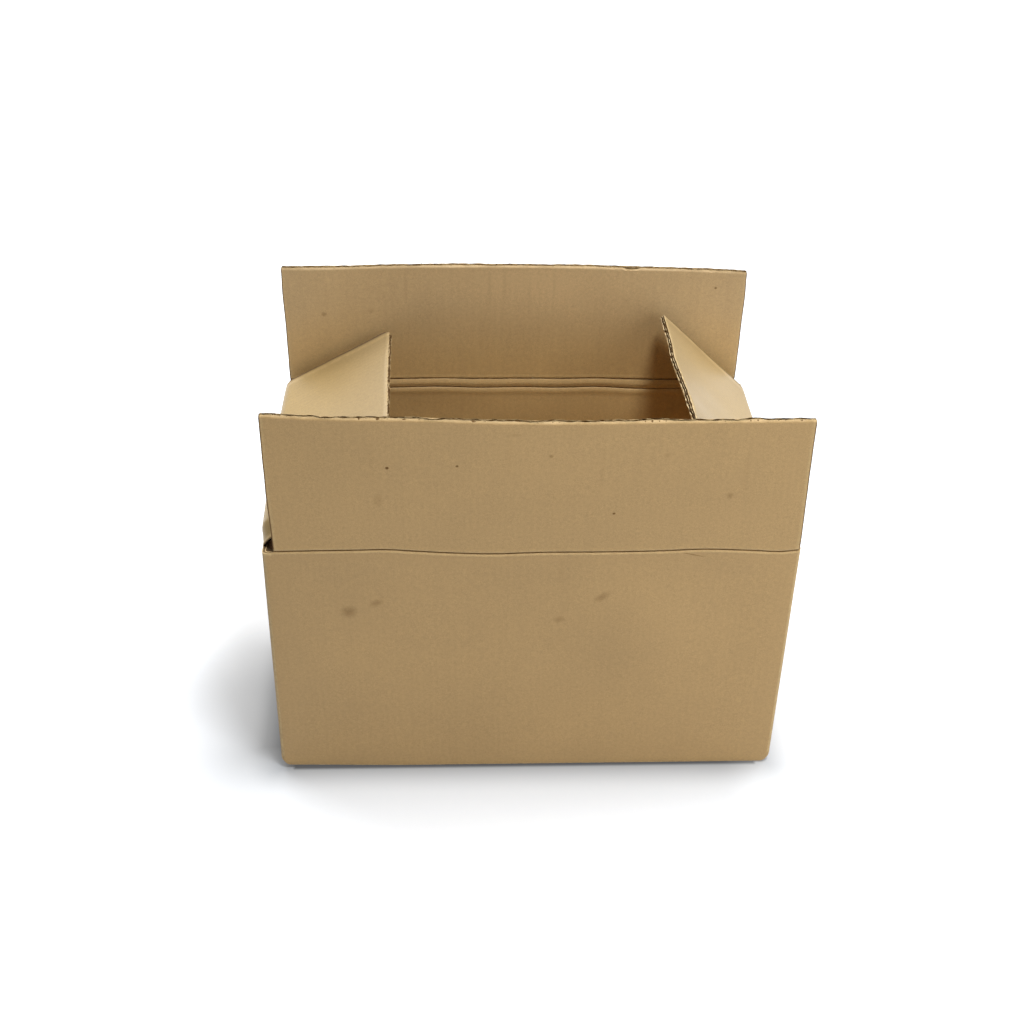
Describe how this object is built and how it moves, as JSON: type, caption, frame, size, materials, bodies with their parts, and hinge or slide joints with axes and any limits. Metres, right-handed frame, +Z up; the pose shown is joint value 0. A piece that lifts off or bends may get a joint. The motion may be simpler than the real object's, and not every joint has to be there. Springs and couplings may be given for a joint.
{
  "type": "open cardboard box",
  "caption": "Open corrugated shipping carton of double wall board, standing on its base with its top flaps folded up, for packing goods.",
  "frame": {"origin": "middle of the base, on the floor that the carton stands on", "axes": "+X to the right along the long walls, -Y to the front, +Z up"},
  "size_m": [0.514, 0.314, 0.432],
  "materials": {
    "kraft_board": "matt brown kraft liner"
  },
  "bodies": {
    "carton": {"carton": "kraft_board"},
    "front_flap": {"front_flap": "kraft_board"},
    "back_flap": {"back_flap": "kraft_board"},
    "left_flap": {"left_flap": "kraft_board"},
    "right_flap": {"right_flap": "kraft_board"}
  },
  "joints": [
    {"name": "front_fold", "type": "hinge", "parent": "carton", "child": "front_flap", "pos_m": [0.0035, -0.1573, 0.283], "axis": [1, 0, 0], "range_deg": [0, 170]},
    {"name": "back_fold", "type": "hinge", "parent": "carton", "child": "back_flap", "pos_m": [-0.007, 0.1573, 0.283], "axis": [-1, 0, 0], "range_deg": [0, 173.5]},
    {"name": "left_fold", "type": "hinge", "parent": "carton", "child": "left_flap", "pos_m": [-0.2573, -0.00575, 0.283], "axis": [0, -1, 0], "range_deg": [-29, 170]},
    {"name": "right_fold", "type": "hinge", "parent": "carton", "child": "right_flap", "pos_m": [0.2573, -0.00575, 0.283], "axis": [0, 1, 0], "range_deg": [-42.5, 170]}
  ]
}
